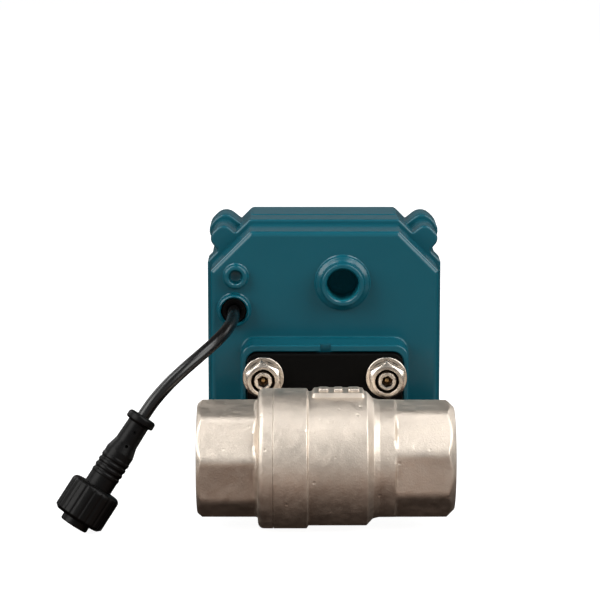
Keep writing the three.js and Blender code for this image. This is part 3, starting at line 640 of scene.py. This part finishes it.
boolean(base, turned_y("ring_hole", [(-3, 0), (-3, 2.1), (-2.0, 1.95, 0.15), (-1.75, 1.68, 0.2), (0.1, 1.5, 0.9), (0.1, 0)], -21.75, 54.0, 48, 5))
boolean(base, turned_y("gland_hole", [(-4, 0), (-4, 4.0), (-2.6, 3.55, 0.2), (-2.15, 3.16, 0.4), (4, 3.12), (4, 0)], GLAND[0], GLAND[1], 72, 4))
# seal groove and blind screw holes in the joint face
boolean(base, boolean(loft("groove", [(SPLIT - 1.1, offset(octagon(), -0.5)), (SPLIT + 1, offset(octagon(), -0.5))], 3),
                      loft("groove_in", [(SPLIT - 2, offset(octagon(), -1.7)), (SPLIT + 2, offset(octagon(), -1.7))], 3)))
for x, z in EARS:
    boolean(base, turned_y("ear_hole", [(18.2, 0), (18.2, 1.45), (29, 1.45), (29, 0)], x, z, 28, 1))
piece(base, TEAL, "housing", "base_housing", angle=33, extra=(TEAL_HOLE_PAINTED_LIGHT,), flat=True)
# The boss hole's inside takes the lighter teal copy: painted light in the hole.
paint(base, 1, lambda c, n: c[1] > -1.5 and (c[0] - 4.4) ** 2 + (c[2] - 52.45) ** 2 < 4.0 ** 2)

# rear cover: rim with lugs, body, back edge rounded
cr = 3.6
oc = offset(octagon(), LIP)
cov_secs = [(SPLIT + SLACK + 0.3 * (1 - cos(a)), offset(oc, -0.3 * (1 - sin(a)))) for a in arc_steps(3)]
cov_secs += [(BACK - cr, oc)]
cov_secs += [(BACK - cr + cr * sin(a), offset(oc, -cr * (1 - cos(a)))) for a in arc_steps(8)[1:]]
cover = loft("cover_shell", cov_secs, 6)
lug = lugged(LIP - 0.15, 1.1, COVER_EAR_R, 0.7, 0.9)
lug_secs = [(SPLIT + SLACK + 0.4 * (1 - cos(a)), offset(lug, -0.4 * (1 - sin(a)))) for a in arc_steps(3)]
lug_secs += [(EAR_BACK - 0.6 + 0.6 * sin(a), offset(lug, -0.6 * (1 - cos(a)))) for a in arc_steps(4)]
boolean(cover, loft("cover_lugs", lug_secs, 5), "UNION")
boolean(cover, loft("cover_cavity", [(SPLIT - 1, octagon(-WALL)), (BACK - WALL - 1.2, octagon(-WALL)),
                                     (BACK - WALL, offset(octagon(-WALL), -1.2))], 4))
boolean(cover, turned_y("window_step", [(40, 0), (40, 8.2), (43.4, 8.2, 0.1), (43.4, 10.25), (44.35, 10.3, 0.3), (45.2, 11.2), (46, 11.2), (46, 0)], 0, PIPE_Z, 96, 3))
for x, z in EARS:
    boolean(cover, turned_y("cover_ear_hole", [(20, 0), (20, 1.5), (46, 1.5), (46, 0)], x, z, 28, 1))
    boolean(cover, turned_y("head_seat", [(EAR_BACK, 0), (EAR_BACK, 2.6, 0.1), (46, 2.6), (46, 0)], x, z, 40, 2))
# raised end-of-travel ticks beside the window
for k in range(7):
    a = radians(90 - 15 * k)
    long = k in (0, 6)
    r0, r1 = 12.0, 14.6 if long else 13.2
    o0 = Vector((r0 * cos(a), 0, PIPE_Z + r0 * sin(a)))
    t = Vector((-sin(a), 0, cos(a))) * (0.42 if long else 0.25)
    q = Vector((cos(a), 0, sin(a))) * (r1 - r0)
    ring = [o0 - t, o0 + t, o0 + t + q, o0 - t + q]
    vs = [(p.x, 44.3, p.z) for p in ring] + [(p.x, 44.95, p.z) for p in ring]
    fs = [(0, 1, 2, 3), (7, 6, 5, 4), (0, 4, 5, 1), (1, 5, 6, 2), (2, 6, 7, 3), (3, 7, 4, 0)]
    boolean(cover, new_object("tick", vs, fs), "UNION")
piece(cover, TEAL, "housing", "rear_cover", angle=33, flat=True)

for i, (x, z) in enumerate(EARS):
    s = turned_y("cover_screw", [(18.5, 0), (19.0, 1.1), (39.2, 1.2), (39.2, 2.3, 0.15), (40.4, 2.3, 0.5), (41.0, 1.5, 0.6), (41.0, 0)], x, z, 48, 4)
    boolean(s, rounded_box("slot_a", (x - 0.28, 40.0, z - 1.35), (x + 0.28, 43, z + 1.35), 0))
    boolean(s, rounded_box("slot_b", (x - 1.35, 40.0, z - 0.28), (x + 1.35, 43, z + 0.28), 0))
    s.name = f"cover_screw_head_{i + 1}"
    piece(s, MACHINED, "housing", f"cover_screw_{i + 1}")

lens = turned_y("sight_window", [(43.6, 0), (43.6, 10.0, 0.15), (44.7, 10.0, 0.2), (45.15, 9.0, 0.5), (45.3, 5.0, 3), (45.3, 0)], 0, PIPE_Z, 96, 5)
piece(lens, CLEAR, "housing", "window_lens")
dial = turned_y("position_dial", [(38.6, 3.85, 0.1), (38.6, 5.2, 0.2), (40.6, 5.2, 0.2), (40.6, 7.7, 0.2), (42.0, 7.7, 0.3), (42.0, 0.001), (40.3, 0.001), (40.3, 3.85)], 0, PIPE_Z, 80, 3)
piece(dial, WHITE_MARK, "output_drive")
pointer_outline = anticlockwise([(-6.6, -0.9, 0.3), (2.6, -0.9, 0.3), (2.6, -2.3, 0.2), (6.7, 0.0, 0.3), (2.6, 2.3, 0.2), (2.6, 0.9, 0.3), (-6.6, 0.9, 0.3)])
pointer_outline = [(x, z + PIPE_Z, r) for x, z, r in pointer_outline]
pointer = loft("position_pointer", [(41.8, pointer_outline), (42.5, pointer_outline), (42.7, offset(pointer_outline, -0.15))], 3)
piece(pointer, YELLOW, "output_drive", "indicator_dial")

# ------------------------------------------------------------------ plate, studs, nuts, washers, grommet
outline = anticlockwise(rect(-PLATE_HALF, PLATE_HALF, PLATE_LOW, PLATE_TOP, 2.2))
secs = [(PLATE_FRONT + 0.3 * (1 - cos(a)), offset(outline, -0.3 * (1 - sin(a)))) for a in arc_steps(3)]
secs += [(PLATE_BACK - 0.3 + 0.3 * sin(a), offset(outline, -0.3 * (1 - cos(a)))) for a in arc_steps(3)]
plate = loft("valve_plate", secs, 6)
boolean(plate, turned_y("plate_bore", [(-13, 0), (-13, 7.3), (-7, 7.3), (-7, 0)], 0, PIPE_Z, 72, 1))
for s in (-1, 1):
    boolean(plate, turned_y("plate_hole", [(-13, 0), (-13, 2.75), (-7, 2.75), (-7, 0)], s * STUD_X, STUD_Z, 40, 1))
piece(plate, PLATE, "housing", "mounting_plate")


def hexagon(af, turn, soft=0.0):
    def f(a):
        k = ((a - turn + pi / 6) % (pi / 3)) - pi / 6
        return af / 2 / cos(pi / 6 - abs(k)) if not soft else min(af / 2 / cos(pi / 6 - abs(k)), af / 2 / cos(pi / 6) - soft)
    return f


for side, s, turn in (("left", -1, radians(97)), ("right", 1, radians(90))):
    x = s * STUD_X
    back, front = -12.9, -16.9
    hexf = hexagon(8.0, turn)

    def limit(c, hexf=hexf):
        return lambda a: min(hexf(a), c)

    rings = [(back, 2.75), (back, 4.1)]
    for k in range(7):
        rings.append((back - 0.34 * k / 6, limit(4.1 + (4.64 - 4.1) * k / 6)))
    for k in range(13):
        rings.append((front + 0.60 * (1 - k / 12), limit(4.64 - (4.64 - 3.72) * k / 12)))
    rings += [(front - 0.03, 3.55), (front - 0.03, 3.0), (front + 0.05, 2.88), (front + 0.5, 2.66)]
    for k in range(9):  # thread
        y = front + 0.75 + 0.4 * k
        rings += [(y, 2.52), (y + 0.2, 2.68)]
    nut = spin("hex_nut_" + side, rings, (x, 0, STUD_Z), Y, X, Z, 144, turn)
    piece(nut, MACHINED, "housing", "nut_" + side, angle=28, weighted=False, extra=(SHADED,))
    # The nut's bore and thread turns take the dark steel: painted shade between nut and stud.
    paint(nut, 1, lambda c, n, x=x: c[1] > -16.88 and (c[0] - x) ** 2 + (c[2] - STUD_Z) ** 2 < 2.86 ** 2)
    washer = turned_y("plain_washer_" + side, [(-12.7, 2.75, 0.1), (-12.7, 5.0, 0.25), (-11.7, 5.0, 0.2), (-11.7, 2.75, 0.1)], x, STUD_Z, 96, 4)
    piece(washer, MACHINED, "housing", "washer_" + side)
    sock = hexagon(2.55, radians(30) + (0.12 if s < 0 else -0.2))
    rings = [(0.6, 0), (0.6, 2.3)]
    y = -0.2
    while y > -16.4:
        rings += [(y, 2.46), (y - 0.4, 2.24)]
        y -= 0.8
    rings += [(-16.75, 2.3), (-17.35, 2.16), (-17.55, 2.02), (-17.6, 1.88), (-17.6, 1.66), (-17.5, sock), (-15.6, sock), (-15.3, 0.95), (-15.9, 0.5), (-16.05, 0.0)]
    stud = spin("stud_bolt_" + side, rings, (x, 0, STUD_Z), Y, X, Z, 72)
    piece(stud, MACHINED, "housing", "stud_" + side, extra=(SOCKET_FLOOR_PAINTED_REFLECTION, SHADED), weighted=False, angle=28)
    # The hex socket walls take the dark steel: painted shade in the recess.
    paint(stud, 2, lambda c, n, x=x: -17.52 < c[1] < -15.0 and (c[0] - x) ** 2 + (c[2] - STUD_Z) ** 2 < 1.52 ** 2)
    # The socket floor takes the golden tone: painted reflection.
    paint(stud, 1, lambda c, n, x=x: -16.2 < c[1] < -15.0 and (c[0] - x) ** 2 + (c[2] - STUD_Z) ** 2 < 0.98 ** 2)
    # The stud thread inside nut and plate takes the dark steel: painted shade between the parts.
    paint(stud, 2, lambda c, n, x=x: -16.7 < c[1] < 0 and (c[0] - x) ** 2 + (c[2] - STUD_Z) ** 2 > 2.15 ** 2)

grommet = turned_y("lead_grommet", [
    (-1.0, 1.6, 0.1), (-1.35, 1.75, 0.15), (-1.55, 2.6, 0.4), (-1.5, 3.02, 0.2), (3.6, 2.85, 0.2), (3.6, 1.6, 0.1)], GLAND[0], GLAND[1], 64, 4)
piece(grommet, RUBBER, "housing", "cable_grommet")

# ------------------------------------------------------------------ ball valve
VO = (0, PIPE_Y, PIPE_Z)  # local frame: height along X, angle 0 faces the front, a quarter turn on faces down
MY, MZ = -Y, -Z
SEG = 192


def smin(a, b, k):
    h = max(k - abs(a - b), 0.0) / k
    return min(a, b) - h * h * k * 0.25


def smooth(a, b, x):
    t = max(0.0, min(1.0, (x - a) / (b - a)))
    return t * t * (3 - 2 * t)


def octa(turn):
    def f(a):
        k = (a - turn) % (pi / 4) - pi / 8
        return (FLATS / 2 + 0.14) / cos(k)
    return f


def densify(line, step):
    out = [line[0]]
    for a, b in zip(line, line[1:]):
        n = max(1, int(abs(b[0] - a[0]) / step + 0.5))
        for k in range(1, n + 1):
            out.append((a[0] + (b[0] - a[0]) * k / n, a[1] + (b[1] - a[1]) * k / n))
    return out


def pad_height(a, x, r):
    """The flat cast pad on top of the barrel."""
    up = -sin(a)
    if up < 0.9:
        return r
    flat = 16.3 / up
    y = -flat * cos(a)
    m = smooth(-3.3, -2.7, x) * (1 - smooth(8.5, 9.1, x)) * smooth(-4.0, -3.3, y) * (1 - smooth(3.1, 3.8, y))
    return r + max(0.0, flat - r) * m


def body_ring(x, rc, turn, x_in, x_out):
    f = octa(turn)
    w = smooth(min(x_in, x_out), max(x_in, x_out), x)
    if x_out < x_in:
        w = 1 - w

    def r(a):
        o = smin(rc, f(a), 0.22)
        v = rc + (o - rc) * w
        return pad_height(a, x, v) if -4 < x < 10 else v
    return r


def thread(r0, depth, pitch, x, x_deep, sgn):
    """Internal thread: the radius grows into the groove; it fades out towards the end of the socket."""
    fade = smooth(0.0, 2.2, abs(x - x_deep))

    def r(a):
        k = (x * sgn / pitch + a / (2 * pi)) % 1.0
        t = 1 - abs(k - 0.5) * 2
        t = smooth(0.08, 0.92, t)
        return r0 + depth * t * fade
    return r


turn_r, turn_l = radians(-18.3), radians(-10.3)
line = fillet([(-12.2, 13.3), (-12.2, 16.4, 0.12), (-4.45, 16.4, 0.3), (-4.05, 15.72, 0.25), (9.5, 15.7, 0.5),
               (11.0, 14.1, 0.9), (12.4, 13.76, 0.6), (16.2, 13.74, 0.6), (28.2, 13.72, 0.5), (30.0, 11.95, 0.35),
               (30.0, 10.95, 0.2), (29.3, 10.0, 0.2), (28.9, 9.35)], False, 5)
rings = []
for x, r in densify(line, 0.33):
    rings.append((x, body_ring(x, r, turn_r, 15.75, 16.5) if x > -12.19 and r > 11.5 and x < 29.9 else r))
x = 28.8
while x > 17.4:
    rings.append((x, thread(9.32, 1.0, 1.814, x, 17.3, 1)))
    x -= 0.26
rings += [(17.0, 9.3), (17.0, 7.6), (16.7, 7.4), (11.2, 7.4), (11.2, 10.2), (6.8, 10.2), (6.8, 12.4), (-6.5, 12.4), (-6.5, 13.3)]
body = spin("valve_body_casting", rings, VO, X, MY, MZ, SEG, turn_r)
neck = spin("neck", fillet([(12.5, 0), (12.5, 9.5), (13.6, 9.2, 0.5), (15.8, 9.0, 0.8), (18.6, 9.0, 0.8), (19.3, 12.0, 0.3),
                            (21.9, 12.0, 0.4), (21.9, 7.0, 0.2), (34.7, 7.0, 0.3), (34.7, 0)], False, 4),
            VO, Y, X, Z, 96)
boolean(body, neck, "UNION")
boolean(body, spin("stem_bore", [(11, 0), (11, 5.6), (14.3, 5.6), (14.3, 3.3), (18.7, 3.3), (18.7, 5.0), (36, 5.0), (36, 0)], VO, Y, X, Z, 64))
for x0, w in ((-1.7, 2.3), (1.9, 2.0), (5.2, 2.6)):
    bar = rounded_box("cast_bar", (x0, PIPE_Y - 1.9, PIPE_Z + 15.9), (x0 + w, PIPE_Y + 1.2, PIPE_Z + 16.95), 0.32, 3)
    boolean(body, bar, "UNION")
piece(body, CAST, "housing", "valve_body", angle=38, weighted=False, extra=(THREADED,))
paint(body, 1, lambda c, n: c[0] > 17 and (c[1] - PIPE_Y) ** 2 + (c[2] - PIPE_Z) ** 2 < 11.0 ** 2 and abs(n.x) < 0.97)

line = fillet([(-12.27, 14.8), (-12.27, 16.4, 0.12), (-15.75, 16.4, 2.4), (-15.9, 13.74, 0.5),
               (-28.9, 13.74, 0.4), (-30.0, 12.75, 0.35), (-30.0, 10.95, 0.2), (-29.3, 10.0, 0.2), (-28.9, 9.35)], False, 6)
rings = []
for x, r in densify(line, 0.4):
    rings.append((x, body_ring(x, r, turn_l, -16.0, -16.7) if x < -15.9 and r > 11.5 and x > -29.95 else r))
x = -28.8
while x < -17.4:
    rings.append((x, thread(9.32, 1.0, 1.814, x, -17.3, -1)))
    x += 0.26
rings += [(-17.0, 9.3), (-17.0, 7.6), (-16.7, 7.4), (-11.2, 7.4), (-11.2, 10.2), (-6.8, 10.2), (-6.8, 13.0), (-12.27, 13.0),
          (-12.27, 13.2), (-13.4, 13.2), (-13.4, 14.75)]
cap = spin("end_cap_casting", rings, VO, X, MY, MZ, SEG, turn_l)
piece(cap, CAST, "housing", "end_cap", angle=38, weighted=False, extra=(THREADED,))
paint(cap, 1, lambda c, n: c[0] < -17 and (c[1] - PIPE_Y) ** 2 + (c[2] - PIPE_Z) ** 2 < 11.0 ** 2 and abs(n.x) < 0.97)

ball_line = []
x_end = sqrt(11.9 ** 2 - 7.3 ** 2)
for k in range(41):
    a = math.acos(x_end / 11.9) + (pi - 2 * math.acos(x_end / 11.9)) * k / 40
    ball_line.append((11.9 * cos(a), 11.9 * sin(a)))
ball_line = [(x_end - 0.15, 7.3)] + ball_line[0:] + [(-x_end + 0.15, 7.3)]
ball = spin("bored_ball", ball_line, VO, X, MY, MZ, 128)
boolean(ball, rounded_box("ball_slot", (-2.3, PIPE_Y + 9.2, PIPE_Z - 6), (2.3, PIPE_Y + 14, PIPE_Z + 6), 0))
piece(ball, POLISHED, "output_drive", "valve_ball", weighted=False)
for name, s in (("left", -1), ("right", 1)):
    seat = spin("seat_" + name, fillet([(s * 9.65, 7.7, 0.1), (s * 10.9, 7.7, 0.15), (s * 10.9, 9.9, 0.2), (s * 7.1, 9.9, 0.2)], True, 3),
                VO, X, MY, MZ, 112)
    piece(seat, PTFE, "housing", "seat_ring_" + name)

# ------------------------------------------------------------------ CAD nodes that keep their own shape
slots = {s["node"]: s["material_slot"] for s in frame["record"]["subparts"]}
for name, ob in NODES.items():
    if ob.hide_render:
        continue
    mat = BY_SLOT[slots[name]]
    if name == "packing_gland":
        mat = BRASS
    ob.data.materials.clear()
    ob.data.materials.append(mat)
    b = ob.modifiers.new("edges", "BEVEL")
    b.width, b.segments, b.limit_method, b.angle_limit = 0.00012, 2, "ANGLE", radians(40)
    b.use_clamp_overlap = True

# ------------------------------------------------------------------ floor and light
def pale(name, verts, faces, albedo, glow):
    m = bpy.data.materials.new(name)
    m.use_nodes = True
    b = m.node_tree.nodes["Principled BSDF"]
    b.inputs["Base Color"].default_value = (albedo, albedo, albedo, 1)
    b.inputs["Roughness"].default_value = 1.0
    b.inputs["Specular IOR Level"].default_value = 0.0
    b.inputs["Emission Color"].default_value = (1, 1, 1, 1)
    b.inputs["Emission Strength"].default_value = glow
    me = bpy.data.meshes.new(name)
    me.from_pydata(verts, [], faces)
    me.materials.append(m)
    ob = bpy.data.objects.new(name, me)
    scene.collection.objects.link(ob)
    ob.visible_glossy = ob.visible_diffuse = ob.visible_shadow = False
    return ob


S = 6.0
RING = 48
pale("floor", [(S * cos(2 * pi * k / RING), S * sin(2 * pi * k / RING), -0.0002) for k in range(RING)],
     [tuple(range(RING))], 0.30, 0.93)
dome_v, dome_f = [], []
for j in range(9):
    a = pi / 2 * j / 9
    dome_v += [(S * cos(a) * cos(2 * pi * k / RING), S * cos(a) * sin(2 * pi * k / RING), S * sin(a) - 0.0002) for k in range(RING)]
dome_v.append((0, 0, S))
for j in range(8):
    dome_f += [(j * RING + k, j * RING + (k + 1) % RING, (j + 1) * RING + (k + 1) % RING, (j + 1) * RING + k) for k in range(RING)]
dome_f += [(8 * RING + k, 8 * RING + (k + 1) % RING, 9 * RING) for k in range(RING)]
pale("backdrop", dome_v, dome_f, 0.05, 1.0)

world = bpy.data.worlds.new("studio")
scene.world = world
world.use_nodes = True
wt = world.node_tree
bg = wt.nodes["Background"]
tc = wt.nodes.new("ShaderNodeTexCoord")
sep = wt.nodes.new("ShaderNodeSeparateXYZ")
wt.links.new(tc.outputs["Generated"], sep.inputs["Vector"])


def sky(stops):
    m = wt.nodes.new("ShaderNodeMapRange")
    m.inputs["From Min"].default_value = -1
    m.inputs["From Max"].default_value = 1
    wt.links.new(sep.outputs["Z"], m.inputs["Value"])
    r = wt.nodes.new("ShaderNodeValToRGB")
    while len(r.color_ramp.elements) < len(stops):
        r.color_ramp.elements.new(0.5)
    for el, (z, c) in zip(r.color_ramp.elements, stops):
        el.position = (z + 1) / 2
        el.color = (*c, 1)
    wt.links.new(m.outputs["Result"], r.inputs["Fac"])
    return r.outputs["Color"]


WARM = (1.0, 0.64, 0.50)


def grey(v, tone=(1, 1, 1)):
    return [v * c for c in tone]


front_sky = sky([(-1.0, grey(0.015, WARM)), (-0.92, grey(0.045, WARM)), (-0.75, grey(0.10, WARM)), (-0.55, grey(0.12, WARM)), (-0.42, grey(0.52, WARM)),
                 (-0.32, grey(0.92, (1, 0.80, 0.68))), (-0.17, grey(0.24, (1, 0.88, 0.80))), (0.02, grey(0.28)), (0.15, grey(0.50)), (0.30, grey(0.56)),
                 (0.45, grey(0.44)), (0.60, grey(0.32)), (0.72, grey(0.30)), (0.85, grey(0.20)), (1.0, grey(0.15))])
back_sky = sky([(-1.0, grey(0.015, WARM)), (-0.8, grey(0.006, WARM)), (-0.2, grey(0.008, WARM)), (0.0, grey(0.06)),
                (0.17, grey(0.19)), (0.4, grey(0.11, (1, 0.80, 0.66))), (0.85, grey(0.06, (1, 0.80, 0.66))), (1.0, grey(0.15))])
side = wt.nodes.new("ShaderNodeMapRange")
side.interpolation_type = "SMOOTHSTEP"
side.inputs["From Min"].default_value = -0.35
side.inputs["From Max"].default_value = 0.25
wt.links.new(sep.outputs["Y"], side.inputs["Value"])
mix = wt.nodes.new("ShaderNodeMix")
mix.data_type = "RGBA"
wt.links.new(side.outputs["Result"], mix.inputs[0])
wt.links.new(front_sky, mix.inputs[6])
wt.links.new(back_sky, mix.inputs[7])
wt.links.new(mix.outputs[2], bg.inputs["Color"])
bg.inputs["Strength"].default_value = 1.0


def softbox(name, az, el, dist, w, h, radiance, color=(1, 1, 1)):
    """az from the front (-Y) towards +X, in degrees; the power follows from the radiance."""
    d = bpy.data.lights.new(name, "AREA")
    d.shape = "RECTANGLE"
    d.size, d.size_y = w, h
    d.energy, d.color = radiance * pi * w * h, color
    o = bpy.data.objects.new(name, d)
    a, b = radians(az), radians(el)
    aim = Vector((0, -0.01, 0.03))
    o.location = aim + Vector((sin(a) * cos(b), -cos(a) * cos(b), sin(b))) * dist
    o.rotation_euler = (aim - o.location).to_track_quat("-Z", "Y").to_euler()
    o.visible_camera = False
    scene.collection.objects.link(o)
    return o


softbox("softbox_left", -57, 31, 1.0, 0.74, 0.64, 4.8, (1.0, 0.99, 0.97))
softbox("softbox_right", 57, 31, 1.0, 0.74, 0.64, 4.8, (1.0, 0.99, 0.97))
softbox("overhead_left", -68, 64, 1.0, 0.42, 0.36, 6.6)
softbox("overhead_right", 68, 64, 1.0, 0.42, 0.36, 6.6)
softbox("back_left", -130, 30, 1.0, 0.60, 0.46, 2.4)
softbox("back_right", 130, 30, 1.0, 0.60, 0.46, 2.4)

scene.view_settings.view_transform = "Standard"
scene.view_settings.look = "None"
scene.view_settings.exposure = 0.0

bpy.context.view_layer.update()
